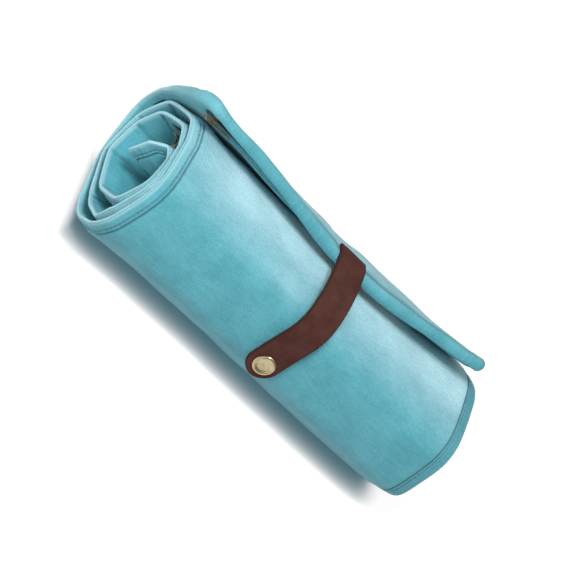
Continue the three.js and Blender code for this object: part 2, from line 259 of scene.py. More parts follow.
# warp and weft of the zip tape
def makeWeaveGroup():
    tree, put = newGroup("tapeWeave", {"Threads": 320.0}, ("Height",))
    links = {"Vector": put["Vector"], "Scale": put["Threads"], "Distortion": 0.4}
    waves = [addNode(tree, "ShaderNodeTexWave", links, bands_direction=d).outputs["Fac"] for d in ("X", "Y")]
    return endGroup(tree, {"Height": math2(tree, "MULTIPLY", *waves)})


napGroup = makeNapGroup()
grainGroup = makeGrainGroup()
wearGroup = makeWearGroup()
weaveGroup = makeWeaveGroup()


def makeMaterial(name, look, *settings):
    material = bpy.data.materials.new(name)
    material.use_nodes = True
    tree = material.node_tree
    setInputs(tree, tree.nodes["Principled BSDF"], look(tree, *settings))
    return material


def placeGroup(tree, group, vector):
    return addNode(tree, "ShaderNodeGroup", {"Vector": vector}, node_tree=group).outputs


def clothPlace(tree):
    return addNode(tree, "ShaderNodeUVMap", uv_map="lay").outputs[0]


def objectPlace(tree):
    return addNode(tree, "ShaderNodeTexCoord").outputs["Object"]


def marked(tree, name):
    return addNode(tree, "ShaderNodeAttribute", attribute_name=name).outputs["Fac"]


def bumped(tree, height, strength, distance):
    links = {"Height": height, "Strength": strength, "Distance": distance}
    return addNode(tree, "ShaderNodeBump", links).outputs[0]


velvetSet = {
    "dark": (0.070, 0.345, 0.415, 1),
    "mid": (0.092, 0.410, 0.490, 1),
    "light": (0.125, 0.475, 0.560, 1),
    "pale": (0.58, 0.90, 1.0, 1),      # painted highlight where the light falls on the top
    "crest": (0.55, 0.86, 0.93, 1),    # painted highlight on the left end's rims
    # painted shade in the grooves and creases
    "seam": (0.02, 0.10, 0.13, 1),
    "pileDark": (0.82, 0.83, 0.83, 1),
    "pileLight": (1.13, 1.12, 1.12, 1),
    "crestShare": 0.7,
    "seamShare": 0.8,
    "bump": (0.5, 0.4 * mm),
    "finish": {
        "Roughness": 0.7, "Specular IOR Level": 0.45, "Sheen Weight": 0.22, "Sheen Roughness": 0.55,
        "Sheen Tint": (0.85, 0.97, 1.0, 1),
    },
}


def velvetLook(tree, s):
    nap = placeGroup(tree, napGroup, clothPlace(tree))
    tone = mixColour(tree, nap["Patches"], s["dark"], s["light"])
    tone = mixColour(tree, 0.1, tone, s["mid"])
    # painted highlight where the mat's highlight mask is set, broken up by the nap's patches
    uneven = spread(tree, nap["Patches"], 0.7, 1.0)
    tone = mixColour(tree, math2(tree, "MULTIPLY", marked(tree, "highlightMask"), uneven), tone, s["pale"])
    shade = mixColour(tree, ramp(tree, nap["Pile"], 0.2, 0.8), s["pileDark"], s["pileLight"])
    tone = mixColour(tree, 1.0, tone, shade, "MULTIPLY")
    # painted highlight on the left rims, and painted shade in the grooves and creases
    for mark in ("crest", "seam"):
        share = math2(tree, "MULTIPLY", marked(tree, mark), s[mark + "Share"])
        tone = mixColour(tree, share, tone, s[mark])
    return {"Base Color": tone, "Normal": bumped(tree, nap["Height"], *s["bump"]), **s["finish"]}


leatherSet = {
    "dark": (0.066, 0.024, 0.019, 1),
    "light": (0.104, 0.041, 0.034, 1),
    "edge": (0.055, 0.021, 0.017, 1),
    "rough": (0.62, 0.48),             # in the creases and on the cells
    "bump": (0.2, 0.12 * mm),
    "finish": {"Specular IOR Level": 0.06},
}


def leatherLook(tree, s):
    grain = placeGroup(tree, grainGroup, clothPlace(tree))
    tone = mixColour(tree, grain["Tone"], s["dark"], s["light"])
    tone = mixColour(tree, marked(tree, "edgePaint"), tone, s["edge"])
    rough = spread(tree, grain["Height"], *s["rough"])
    normal = bumped(tree, grain["Height"], *s["bump"])
    return {"Base Color": tone, "Roughness": rough, "Normal": normal, **s["finish"]}


# name, bright and dull colour, roughness of the two, and how metallic
brassSets = [
    ("brassSnap", (0.60, 0.50, 0.31, 1), (0.47, 0.38, 0.22, 1), (0.26, 0.36), 1.0),
    # the studs' copy: lighter and less metallic, painted light where strap and flap shade them
    ("brassStud", (0.92, 0.82, 0.55, 1), (0.75, 0.63, 0.38, 1), (0.30, 0.42), 0.45),
    # the zips' copy: darker, painted shade where they lie under the flap and inside the roll
    ("brassZip", (0.36, 0.27, 0.16, 1), (0.20, 0.15, 0.09, 1), (0.30, 0.42), 1.0),
]


def brassLook(tree, bright, dull, rough, metal):
    wear = placeGroup(tree, wearGroup, objectPlace(tree))
    return {
        "Base Color": mixColour(tree, wear["Tarnish"], bright, dull),
        "Roughness": spread(tree, wear["Tarnish"], *rough),
        "Metallic": metal,
        "Normal": bumped(tree, wear["Scuffs"], 0.08, 0.05 * mm),
    }


tapeSet = {"thread": (0.022, 0.012, 0.010, 1), "shade": (0.008, 0.005, 0.004, 1), "bump": (0.6, 0.2 * mm)}


def tapeLook(tree, s):
    weave = placeGroup(tree, weaveGroup, clothPlace(tree))
    tone = mixColour(tree, weave["Height"], s["shade"], s["thread"])
    return {"Base Color": tone, "Roughness": 0.8, "Normal": bumped(tree, weave["Height"], *s["bump"])}


threadSet = {"dark": (0.075, 0.250, 0.300, 1), "light": (0.150, 0.420, 0.480, 1), "bump": (0.4, 0.1 * mm)}


def threadLook(tree, s):
    strands = noise(tree, objectPlace(tree), 2600.0, 2.0, 0.6)
    tone = mixColour(tree, strands, s["dark"], s["light"])
    return {"Base Color": tone, "Roughness": 0.6, "Normal": bumped(tree, strands, *s["bump"])}


velvet = makeMaterial("velvetTeal", velvetLook, velvetSet)
leather = makeMaterial("leatherBrown", leatherLook, leatherSet)
snapBrass, litStudBrass, shadedZipBrass = (makeMaterial(name, brassLook, *rest) for name, *rest in brassSets)
tapeCloth = makeMaterial("zipTapeBrown", tapeLook, tapeSet)
thread = makeMaterial("hemThread", threadLook, threadSet)
print("materials made")


# the mat: one padded velvet sheet, wound in three turns with its flap on top
rollBox, edgeBox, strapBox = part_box("outer_front"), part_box("flap_edge"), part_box("strap_tip")
rollX = (rollBox[0].x + rollBox[1].x) / 2 / mm
strapX = (strapBox[0].x + strapBox[1].x) / 2 / mm
matSet = {
    # facing and swell of a turn's eight panels, from the top over the front
    "sides": [(90, -0.065), (57, 0.08), (20, 0.05), (-35, 0.02),
              (-90, -0.065), (-135, 0), (-180, 0.06), (-225, 0)],
    "coreRadius": 22.0,
    "pitch": 7.2,
    "board": 5.2,             # thickness of the solids
    "gap": 2.0,
    "turns": 3,
    "tabReach": 3.5,
    "tabHang": 22.0,
    "edgeFacing": 115 - 3 * 360,
    "edgeLength": 14.5,
    # smoothing of the folds, by panel
    "softness": ([0, 2, 9, 16, 21, 24, 25], [2.0, 2.4, 3.6, 5.0, 7.0, 7.0, 4.0]),
    "halfWidth": 112.5,
    "flapSkew": (edgeBox[0].x + edgeBox[1].x) / 2 / mm - rollX,
    "halfThick": 2.8,
    "flapThick": (4.0, 3.7),  # half thickness of the padded free edge, outside and lining
    "padRun": 40.0,           # the padding grows to that thickness over this length
    "tabThin": (0.55, 9.0),   # the tab's share of the thickness, and over what length it grows
    "endRound": (1.6, 3.4),   # rounding of the tab's end and of the free edge
    "hemShare": (0.4, 0.97),  # the hem is pressed thinner than the padded part, less on the flap
    "hemWidth": 10.0,
    "turnColumns": 10,        # columns round each side edge
    "rim": (1.0, 3.6),        # rounding of the side edges, on the roll and on the flap
    "hemStitch": 5.6,         # from the side edge to the stitches, and to the hem's fold
    "hemFold": 7.5,
    "hemRelief": (0.7, 0.8, 0.25, 0.5),   # depth of both, rise between them, and width
    "stitchPitch": 2.9,
    "waver": 0.7,             # of the side edges
    "foldShare": 0.86,        # how much of a fold's radius the lining fills
    "puff": (0.22, 34.0),     # swell of the padding and its wave length
    "give": (0.3, 70.0),      # the same for the whole sheet
    "pressed": (11.5, 2.5),   # half width and half thickness of the place under the strap
    "strapSideLight": (0.45, 24.0, 19.0, 17.8, 0.5),   # painted light left of the strap, where strap and flap shade the roll, in mm across and panels
    "floorGap": 0.05,
    "cornerRadius": (2.5, 14.0, 4.5),  # the tab's, the flap's left and right
    "edgeSeam": (6.0, 2.4),   # behind the free edge, and how much nearer it runs away from the strap
    "zipHalf": 5.0,
    "zipDepth": 3.0,
    "zipTaper": 7.0,
    "zipEnds": {"core": (106.8, 108.6), "back": (106.8, 107.0), "flap": (103.5, 105.0)},
    "endRuns": (66.0, 38.0, 40.0),   # where the ends start to shift, and over what lengths left and right
    "flapShort": 5.5,         # the flap's right end stops before the solid's
    "peelLeft": (13.5, 110.0, 2.1),  # the flap stands off the roll towards its ends, in degrees
    "peelRight": (6.5, 91.0, 3.2),
    "edgeOpen": (20.0, (6.0, 55.0), (12.0, 62.0)),   # beside the strap its free edge runs straight on
}
# the mat's left end leans off the even spiral: by panel of a turn, along x, y and z
leanByPanel = [
    (0, 2.9, 2.9, 3.9), (0.33, 5.2, 1.0, 3.2), (1, 3.5, -0.7, 0.9), (2, 2.7, -0.7, 0.6), (3, 1.0, 0, 0.4),
    (4, 0.6, 1.0, 1.0), (5, -1.5, 0.3, -0.3), (6, -1.3, 0.3, -0.3), (7, -1.3, 1.0, 0.3),
]
leanByTurn = (1.0, 1.0, 0.7)
leftEnd = [(0, -3.8, 3.0, 1.0), (0.67, -3.1, 4.0, 2.2)]
for turn, share in enumerate(leanByTurn):
    leftEnd += [(1 + 8 * turn + k, share * x, share * y, share * z) for k, x, y, z in leanByPanel]
# the middle and outer turns sag low on the front, and the flap's end follows the outer turn's bottom
sagging = [(12.33, 1.9, -3.9, -2.5), (12.67, 0, -1.2, -1.2), (20.33, 1.0, -1.6, -0.9), (20.67, 0, -1.3, -1.2)]
flapEnd = [(22, 0.7, 0, 0.3), (23, 0, -0.2, 0), (24, -1.0, -1.3, -1.6)]
leftEnd = sorted([row for row in leftEnd if row[0] < 22] + sagging + flapEnd)
# painted highlight on the upward-facing top of the outer turn and of the flap, by panel
highlightByPanel = [
    (16.6, 1.0), (17.0, 1.0), (17.2, 0.95), (17.45, 0.75), (17.7, 0.42), (17.95, 0.22), (18.2, 0.13),
    (18.6, 0.04), (19, 0), (23.8, 0), (24.4, 0.4), (25.2, 0.5), (25.6, 0.2), (26, 0),
]
# how far the right end stands out and up, by panel
rightEnd = [
    (0, 0, 0), (15.6, 0, 0), (16.2, 2, 4), (16.6, 2.5, 2.5), (17, 3.5, 0.3), (17.5, 4.8, 0), (19.5, 5, 0),
    (20.3, 6.2, 0), (20.8, 7.2, 0), (21.3, 5.5, 0), (22, 0, 0), (26, 0, 0),
]


def wayOut(angle):
    a = math.radians(angle)
    return np.array([-math.cos(a), math.sin(a)])


def wayOn(angle):
    a = math.radians(angle)
    return np.array([-math.sin(a), -math.cos(a)])


def meet(p, q):
    return np.linalg.solve(np.array([wayOut(p[0]), wayOut(q[0])]), np.array([p[1], q[1]]))


def panelLines(s):
    count = len(s["sides"])
    last = s["turns"] * count
    lines = []
    for k in range(last + 1):
        facing, swell = s["sides"][k % count]
        angle = facing - 360 * (k // count)
        lines.append((angle, (s["coreRadius"] + s["pitch"] * (90 - angle) / 360) * (1 + swell)))
    under = (lines[last - 1][0], lines[last - 1][1] - s["board"])
    start = meet(under, (lines[last - count][0], lines[last - count][1] + s["gap"]))
    facing = s["edgeFacing"]
    lines[last] = (facing, start @ wayOut(facing) + s["board"])
    return [(180, s["tabReach"])] + lines


def smoothLine(points, sigma):
    reach = int(4 * sigma / lineStep)
    before = points[0] + (points[0] - points[1]) * np.arange(reach, 0, -1)[:, None]
    after = points[-1] + (points[-1] - points[-2]) * np.arange(1, reach + 1)[:, None]
    line = np.vstack([before, points, after])
    kernel = np.exp(-0.5 * (np.arange(-reach, reach + 1) * lineStep / sigma) ** 2)
    kernel /= kernel.sum()
    return np.column_stack([np.convolve(line[:, i], kernel, "valid") for i in (0, 1)])


lineStep = 0.25                                 # between the points of a line
outerLines = panelLines(matSet)
midLines = [(a, r - matSet["board"] / 2) for a, r in outerLines]
panelCount = len(midLines)                      # 0 the tab, 1 the core's top, 25 the flap's edge
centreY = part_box("flap_back")[1].y / mm - outerLines[23][1]
centreZ = outerLines[21][1]


# points along the runs between knots, and where each run starts and has its middle
def walk(knots):
    points, marks = [], []
    for a, b in zip(knots[:-1], knots[1:]):
        n = int(np.linalg.norm(b - a) / lineStep)
        marks.append((len(points), len(points) + n // 2))
        points += [a + (b - a) * j / n for j in range(n)]
    return np.array(points + [knots[-1]]), marks


def matLine(s):
    corners = [meet(midLines[i], midLines[i + 1]) for i in range(panelCount - 1)]
    first = corners[0] - wayOn(midLines[0][0]) * s["tabHang"]
    final = corners[-1] + wayOn(midLines[-1][0]) * s["edgeLength"]
    points, marks = walk([first] + corners + [final])
    index = np.arange(len(points))
    panel = np.searchsorted([m[0] for m in marks], index, "right") - 1
    softness = np.interp(panel, *s["softness"])
    softness = smoothLine(np.column_stack([softness, softness]), 6.0)[:, 0]
    levels = [2.0, 3.0, 4.5, 7.0]
    lines = np.array([smoothLine(points, v) for v in levels])
    place = np.interp(softness, levels, range(len(levels)))
    low = np.clip(place.astype(int), 0, len(levels) - 2)
    share = (place - low)[:, None]
    curve = lines[low, index] * (1 - share) + lines[low + 1, index] * share
    arc = lengthAlong(curve)
    starts = [arc[m[0]] for m in marks]
    middles = [arc[m[1]] for m in marks]
    return arc, curve, starts, middles


arc, curve, panelStart, panelMiddle = matLine(matSet)
matLength = arc[-1]
zipAt = {"core": panelMiddle[8], "back": panelMiddle[23], "flap": panelMiddle[25]}


def stationsFor():
    u = np.arange(0, matLength, 0.05)
    step = np.interp(u, [0, panelStart[10], matLength], [0.95, 1.3, 1.3])
    for z in zipAt.values():
        step = np.where(np.abs(u - z) < 6.5, 0.55, step)
    step = np.where((u < 5) | (u > matLength - 11), 0.45, step)
    step = np.where((u < 1.2) | (u > matLength - 1.5), 0.2, step)
    amount = np.concatenate([[0], np.cumsum(0.05 / step)])[:-1]
    count = int(round(amount[-1]))
    return np.interp(np.linspace(0, amount[-1], count), amount, u)


def ringColumns(s):
    half = s["halfWidth"]
    near = [s["rim"][0], 1.7, 2.6, 3.5, 4.3] + list(np.arange(4.8, 8.45, 0.2)) + [8.8, 9.4, 10.2, 11.6, 13.5]
    far = list(np.linspace(16.0, half, 42))
    edge = np.array(near + far)
    left = [(-1, e) for e in edge]
    right = [(1, e) for e in edge[:-1][::-1]]
    return left + right


def endClosing(u, radius):
    return np.sqrt(np.clip(1 - np.clip(1 - u / radius, 0, 1) ** 2, 0.0004, 1))


# places and directions on a path, at the lengths u
def pathFrame(u, run, path, du):
    y, z = pick(path, run, u)
    ty, tz = pick(path, run, u + du) - pick(path, run, u - du)
    length = np.hypot(ty, tz)
    return centreY + y, centreZ + z, ty / length, tz / length


def sheetFrame(u):
    return pathFrame(u, arc, curve, 0.2)


def flapAngles(x):
    gap = x - strapX
    most, *edges = matSet["edgeOpen"]
    peel, opened = 0, 0
    for way, name, (first, run) in zip((-1, 1), ("peelLeft", "peelRight"), edges):
        degrees, reach, power = matSet[name]
        away = np.maximum(way * gap, 0)
        peel = peel + degrees * (away / reach) ** power
        opened = opened + ease((away - first) / run)
    return np.radians(peel), np.radians(most * opened)


def turnAbout(u, y, z, angle):
    cy, cz, _, _ = sheetFrame(np.array([u]))
    c, n = np.cos(-angle), np.sin(-angle)
    return cy[0] + (y - cy[0]) * c - (z - cz[0]) * n, cz[0] + (y - cy[0]) * n + (z - cz[0]) * c


# the strap holds the flap down in the middle; away from it the flap peels off the roll
def turnFlap(u, y, z, peel, opened):
    y, z = turnAbout(panelStart[25], y, z, opened * ease((u - panelStart[25] + 5) / 10))
    return turnAbout(panelStart[24], y, z, peel * ease((u - panelStart[24] + 6) / 12))


def sheetMiddle(u):
    s = matSet
    return rollX + s["flapSkew"] * ease((u - panelStart[21]) / (panelMiddle[25] - panelStart[21]))


def panelPlace(u):
    return np.interp(u, panelStart + [matLength], range(panelCount + 1))


def endShift(u, x):
    place = panelPlace(u)
    left, right = np.array(leftEnd), np.array(rightEnd)
    start, nearRun, farRun = matSet["endRuns"]
    near, far = ease((-start - x) / nearRun), ease((x - start) / farRun)
    dx, dy, dz = near * pick(left[:, 1:], left[:, 0], place)
    outward, upward = far * pick(right[:, 1:], right[:, 0], place)
    return dx + outward, dy, dz + upward


# a point of the sheet: u along it, x across it, n out of its middle
def sheetPoint(u, x, n):
    y, z, ty, tz = sheetFrame(u)
    dx, dy, dz = endShift(u, x)
    y, z = turnFlap(u, y + tz * n, z - ty * n, *flapAngles(x))
    return np.stack([x + dx, y + dy, z + dz], axis=-1)


def cornerCut(gap, radius):
    inside = np.clip(radius - gap, 0, radius)
    return radius - np.sqrt(radius * radius - inside * inside)


# the flap's zip narrows at its left end, where the corner is round
def zipNarrow(label, x, middle):
    gap = x - middle + matSet["zipEnds"][label][0]
    return 0.5 + 0.5 * ease(gap / matSet["zipTaper"]) if label == "flap" else np.ones_like(gap)


def buildMat(s):
    u = stationsFor()
    _, _, ty, tz = sheetFrame(u)
    fromEnd = matLength - u
    tabRound, edgeRound = s["endRound"]
    closing = endClosing(fromEnd, edgeRound) * endClosing(u, tabRound)

    # how sharply the lining folds, to keep it from passing through itself
    heading = np.unwrap(np.arctan2(tz, ty))
    radius = 1 / np.maximum(np.abs(np.gradient(heading, u)), 1e-3)

    full = ease((u - panelMiddle[23]) / s["padRun"])
    thin, thinRun = s["tabThin"]
    tab = thin + (1 - thin) * ease(u / thinRun)
    outPad, inPad = (s["halfThick"] + (flapHalf - s["halfThick"]) * full for flapHalf in s["flapThick"])
    outHalf = outPad * tab
    inHalf = np.minimum(inPad, s["foldShare"] * radius) * tab
    rim = s["rim"][0] + (s["rim"][1] - s["rim"][0]) * full
    hemThin = s["hemShare"][0] + (s["hemShare"][1] - s["hemShare"][0]) * full

    # half widths to the left and right, with wavering edges and round corners
    middle = sheetMiddle(u)
    tabRadius, leftRadius, rightRadius = s["cornerRadius"]
    tabWidth = s["halfWidth"] - cornerCut(u, tabRadius)
    halves = {
        -1: tabWidth - cornerCut(fromEnd, leftRadius) + s["waver"] * ripple(u, 0 * u, 5, 90.0),
        1: tabWidth - cornerCut(fromEnd, rightRadius) + s["waver"] * ripple(u, 0 * u, 6, 80.0),
    }
    halves[1] -= s["flapShort"] * full

    columns = ringColumns(s)
    turn = np.radians(np.linspace(90, -90, s["turnColumns"] + 2)[1:-1])
    parts = [(side, e, 1, None) for side, e in columns]
    parts += [(1, 0, 0, a) for a in turn]
    parts += [(side, e, -1, None) for side, e in columns[::-1]]
    parts += [(-1, 0, 0, a) for a in turn[::-1]]

    xs = np.zeros((len(u), len(parts)))
    ns, crest, seam, highlightMask = (np.zeros_like(xs) for _ in range(4))
    highlightShare = np.interp(panelPlace(u), *np.array(highlightByPanel).T)
    for j, (side, e, face, angle) in enumerate(parts):
        half = halves[side]
        if angle is not None:
            xs[:, j] = middle + side * (half - rim * (1 - math.cos(angle)))
            ns[:, j] = math.sin(angle) * (outHalf if angle > 0 else inHalf) * hemThin * closing
            # painted highlight on the left end's rounded rims
            crest[:, j] = bump(math.degrees(angle) + 10, 60) * (1 - 0.8 * full) * (side < 0)
            continue
        inset = e + (rim - s["rim"][0]) * (1 - ease((e - s["rim"][0]) / 12))
        x = middle + side * np.maximum(half - inset * half / s["halfWidth"], 0)
        if e == s["halfWidth"]:
            x = middle
        xs[:, j] = x
        share = hemThin + (1 - hemThin) * float(ease((e - s["rim"][0]) / s["hemWidth"]))
        stitch = 0.7 + 0.3 * np.cos(2 * math.pi * u / s["stitchPitch"])
        stitchDeep, foldDeep, cordHigh, wide = s["hemRelief"]
        groove = stitchDeep * stitch * bump(e - s["hemStitch"], wide)
        groove = groove + foldDeep * bump(e - s["hemFold"], wide)
        groove = groove - cordHigh * bump(e - 0.5 * (s["hemStitch"] + s["hemFold"]), wide)
        # painted shade in the hem's stitch and fold grooves, and a painted shade strip on the right hem
        line = 0.9 * bump(e - s["hemStitch"], 0.55) * stitch + bump(e - s["hemFold"], 0.55)
        line = np.maximum(line, 0.2 * (side > 0) * float(ease((s["hemFold"] - e) / 2)) * (1 - full))
        groove, line = groove * (1 - 0.9 * full), line * (1 - 0.8 * full)
        if face < 0:
            onTab = 1 - ease((u - panelStart[1] + 4) / 4)
            groove, line = groove * onTab, line * onTab
        seam[:, j] = line
        # painted highlight along the left end's rims
        crest[:, j] = 0.75 * bump(e - s["rim"][0], 0.9) * (1 - 0.8 * full) * (side < 0)
        puff = s["puff"][0] * ripple(u, x, 11 + face, s["puff"][1])
        if face > 0:
            # painted highlight on the top, weaker towards the left end, and painted light left of the strap;
            # neither on the right hem
            highlightToRight = 0.35 + 0.65 * ease((x + 108) / 45)
            most, lightLeft, lightWide, lightPanel, lightRun = s["strapSideLight"]
            strapSideLight = most * bump(x - strapX + lightLeft, lightWide) * bump(panelPlace(u) - lightPanel, lightRun)
            rightHem = (side > 0) * (1 - full) * float(ease((9 - e) / 2))
            highlightMask[:, j] = np.maximum(highlightShare * highlightToRight, strapSideLight) * (1 - rightHem)
            # the flap's seam groove behind the free edge, with painted shade in it
            seamAt = s["edgeSeam"][0] - s["edgeSeam"][1] * ease((np.abs(x - strapX) - 10) / 60)
            edgeLine = bump(fromEnd - seamAt, 1.4) * float(ease((e - 5) / 6))
            pressWide, pressThick = s["pressed"]
            press = np.exp(-((x - strapX) / pressWide) ** 6) * full
            thick = outHalf * share
            thick = thick - press * (thick - pressThick)
            ns[:, j] = (thick + (0.8 * puff * share - 0.9 * edgeLine) * (1 - press) - groove) * closing
            seam[:, j] = np.maximum(seam[:, j], edgeLine)
        else:
            fade = 0.35 + 0.65 * math.exp(-max(e - 6, 0) / 18)
            tuck = foldTuck(u) * fade * (0.75 + 0.25 * ripple(u, x, 21, 22.0))
            trough = 0
            for label, z in zipAt.items():
                reach = s["zipHalf"] * zipNarrow(label, x, middle)
                across = ease((1.12 - np.abs(u - z) / reach) / 0.24)
                end = s["zipEnds"][label][int(side > 0)]
                along = ease((end - np.abs(x - middle)) / 1.3 + 0.5)
                trough = np.maximum(trough, s["zipDepth"] * across * along)
            tabSeam = 0.4 * bump(u - 6.0, 0.6)
            hollow = np.maximum(tuck + groove - 0.6 * puff * share + tabSeam, trough)
            ns[:, j] = -np.maximum(inHalf * share - hollow, 0.2 * inHalf) * closing
            # painted shade in the lining's creases
            seam[:, j] = np.maximum(seam[:, j], np.clip(tuck / 2.0, 0, 0.8))
    # the whole sheet gives a little here and there
    calm = np.minimum(1, fromEnd / 30)[:, None] * (1 - np.exp(-((xs - strapX) / 14) ** 4))
    ns = ns + s["give"][0] * ripple(u[:, None], xs, 31, s["give"][1]) * calm
    points = sheetPoint(np.repeat(u[:, None], len(parts), axis=1), xs, ns)
    points[:, :, 2] = np.maximum(points[:, :, 2], s["floorGap"])
    return u, points, {"crest": crest, "seam": seam, "highlightMask": highlightMask}, len(columns)


# the lining gathers where the sheet folds
def foldTuck(u):
    tuck = np.zeros_like(u)
    for i in range(1, panelCount):
        deep = np.interp(i, [1, 3, 9, 16, 20, 25], [0.6, 1.5, 1.7, 1.3, 0.5, 0.3])
        gap = u - panelStart[i]
        tuck += deep * (bump(gap, 0.9) - 0.3 * bump(np.abs(gap) - 3.2, 1.6))
    return tuck


matU, matGrid, matMarks, faceColumns = buildMat(matSet)
liningStart = faceColumns + matSet["turnColumns"]


def gridFaces(rows, ring):
    i = np.arange(rows - 1)[:, None]
    j = np.arange(ring)[None, :]
    k = (j + 1) % ring
    corners = [i * ring + j, i * ring + k, (i + 1) * ring + k, (i + 1) * ring + j]
    return np.stack(corners, axis=2).reshape(-1, 4)


def gridNormals(points, faces):
    p = points.reshape(-1, 3)
    a = p[faces[:, 2]] - p[faces[:, 0]]
    b = p[faces[:, 3]] - p[faces[:, 1]]
    n = np.cross(a, b)
    total = np.zeros_like(p)
    for c in range(4):
        np.add.at(total, faces[:, c], n)
    return total / np.maximum(np.linalg.norm(total, axis=1, keepdims=True), 1e-12)


# a padded grid with normals that point out of it, judged by a column and the one below it
def closedSheet(along, grid, marks, row, upper, lower):
    normals = gridNormals(grid, gridFaces(*grid.shape[:2])).reshape(grid.shape)
    flip = float(normals[row, upper] @ (grid[row, upper] - grid[row, lower])) <= 0
    normals = -normals if flip else normals
    return {"along": along, "grid": grid, "marks": marks, "normals": normals, "flip": flip}


def rowsBetween(along, low, high):
    first, last = (int(np.searchsorted(along, u)) for u in (low, high))
    return first, min(last, len(along) - 1)


def addSheetPiece(name, sheet, low, high, capFaces, material):
    along, flip = sheet["along"], sheet["flip"]
    first, last = rowsBetween(along, low, high)
    rows = slice(first, last + 1)
    points = sheet["grid"][rows]
    ring = points.shape[1]
    faces = gridFaces(len(points), ring)
    faces = [tuple(f) for f in (faces[:, ::-1] if flip else faces)]
    if first == 0:
        faces += capFaces(0, ring, not flip)
    if last == len(along) - 1:
        faces += capFaces(last - first, ring, flip)
    obj = addMesh(name, points.reshape(-1, 3) * mm, faces, material)
    lay = np.stack([points[:, :, 0], np.repeat(along[rows, None], ring, axis=1)], axis=2)
    addUv(obj, "lay", lay.reshape(-1, 2) * mm)
    chosen = sheet["normals"][rows].reshape(-1, 3)
    obj.data.normals_split_custom_set_from_vertices([tuple(n) for n in chosen])
    for mark, values in sheet["marks"].items():
        layer = obj.data.attributes.new(mark, "FLOAT", "POINT")
        layer.data.foreach_set("value", np.asarray(values[rows], np.float32).ravel())
    return obj


# closes an end of the mat: face to lining, then the rounded side edges
def capMat(row, ring, flip):
    turns = matSet["turnColumns"]
    top = [row * ring + j for j in range(faceColumns)]
    low = [row * ring + liningStart + j for j in range(faceColumns)][::-1]
    quads = [(top[j], top[j + 1], low[j + 1], low[j]) for j in range(faceColumns - 1)]
    for first, ends in ((faceColumns, (top[-1], low[-1])), (liningStart + faceColumns, (low[0], top[0]))):
        side = [ends[0]] + [row * ring + first + j for j in range(turns)] + [ends[1]]
        quads += [(side[j], side[j + 1], side[turns - j], side[turns + 1 - j]) for j in range(turns // 2)]
    return [q[::-1] if flip else q for q in quads]


matSheet = closedSheet(matU, matGrid, matMarks, 200, faceColumns // 2, liningStart + faceColumns // 2)


def rideOrBlend(obj, bodies):
    if len(bodies) == 1:
        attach(obj, bodies[0])
        return
    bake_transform(obj)


def names(turn, sides):
    return [f"{turn}_{x}" for x in sides]


allSides = ["front_up", "front", "front_low", "bottom", "back_low", "back", "back_up"]
matPieces = [
    ("matInner", 0, panelStart[9], ("roll",), ["core_tab", "core_top"] + names("inner", allSides), None),
    ("matMiddle", panelStart[9], panelStart[17], ("roll",), names("middle", ["top"] + allSides), None),
    ("matOuter", panelStart[17], panelMiddle[21], ("roll",),
     names("outer", ["top", "front_up", "front", "front_low", "bottom"]), None),
    ("flapLow", panelMiddle[21], panelMiddle[22], ("roll", "flap_low"), ["flap_low"], (0.2, 0.8)),
    ("flapBack", panelMiddle[22], panelMiddle[23], ("flap_low", "flap_back"), ["flap_back"], (0.2, 0.8)),
    ("flapUp", panelMiddle[23], panelMiddle[24], ("flap_back", "flap_up"), ["flap_up"], (0.2, 0.8)),
    ("flapEdge", panelMiddle[24], matLength, ("flap_up", "flap_edge"), ["flap_edge"], (0.2, 0.62)),
]
for name, low, high, bodies, nodes, shares in matPieces:
    piece = addSheetPiece(name, matSheet, low, high, capMat, velvet)
    rideOrBlend(piece, bodies)
    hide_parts(*nodes)
print("mat made", *matGrid.shape[:2], "stations and columns, length", round(matLength, 1))


# Geometry Nodes: one thing set on every point, turned to the point's own directions
def makeRowTree(name, shape, s):
    tree = bpy.data.node_groups.new(name, "GeometryNodeTree")
    tree.interface.new_socket("Geometry", in_out="INPUT", socket_type="NodeSocketGeometry")
    for label in ("Length", "Width", "Height"):
        socket = tree.interface.new_socket(label, in_out="INPUT", socket_type="NodeSocketFloat")
        socket.default_value = s[label]
    tree.interface.new_socket("Finish", in_out="INPUT", socket_type="NodeSocketMaterial")
    tree.interface.new_socket("Geometry", in_out="OUTPUT", socket_type="NodeSocketGeometry")
    put, out = tree.nodes.new("NodeGroupInput"), tree.nodes.new("NodeGroupOutput")
    if shape == "bead":
        form = addNode(tree, "GeometryNodeMeshUVSphere", {"Segments": 8, "Rings": 5, "Radius": 0.5})
    else:
        form = addNode(tree, "GeometryNodeMeshCylinder", {"Vertices": 8, "Radius": 0.5, "Depth": 1.0})
    along = addNode(tree, "GeometryNodeInputNamedAttribute", {"Name": "along"}, data_type="FLOAT_VECTOR")
    up = addNode(tree, "GeometryNodeInputNamedAttribute", {"Name": "up"}, data_type="FLOAT_VECTOR")
    turn = addNode(tree, "FunctionNodeAlignRotationToVector", {"Vector": along.outputs[0]}, axis="X")
    links = {"Rotation": turn.outputs[0], "Vector": up.outputs[0]}
    turn = addNode(tree, "FunctionNodeAlignRotationToVector", links, axis="Z", pivot_axis="X")
    links = {axis: put.outputs[label] for axis, label in zip("XYZ", ("Length", "Width", "Height"))}
    size = addNode(tree, "ShaderNodeCombineXYZ", links)
    links = {"Points": put.outputs["Geometry"], "Instance": form.outputs["Mesh"],
             "Rotation": turn.outputs[0], "Scale": size.outputs[0]}
    row = addNode(tree, "GeometryNodeInstanceOnPoints", links)
    real = addNode(tree, "GeometryNodeRealizeInstances", {"Geometry": row.outputs[0]})
    links = {"Geometry": real.outputs[0], "Shade Smooth": shape == "bead"}
    smooth = addNode(tree, "GeometryNodeSetShadeSmooth", links)
    links = {"Geometry": smooth.outputs[0], "Material": put.outputs["Finish"]}
    done = addNode(tree, "GeometryNodeSetMaterial", links)
    tree.links.new(done.outputs[0], out.inputs["Geometry"])
    return tree


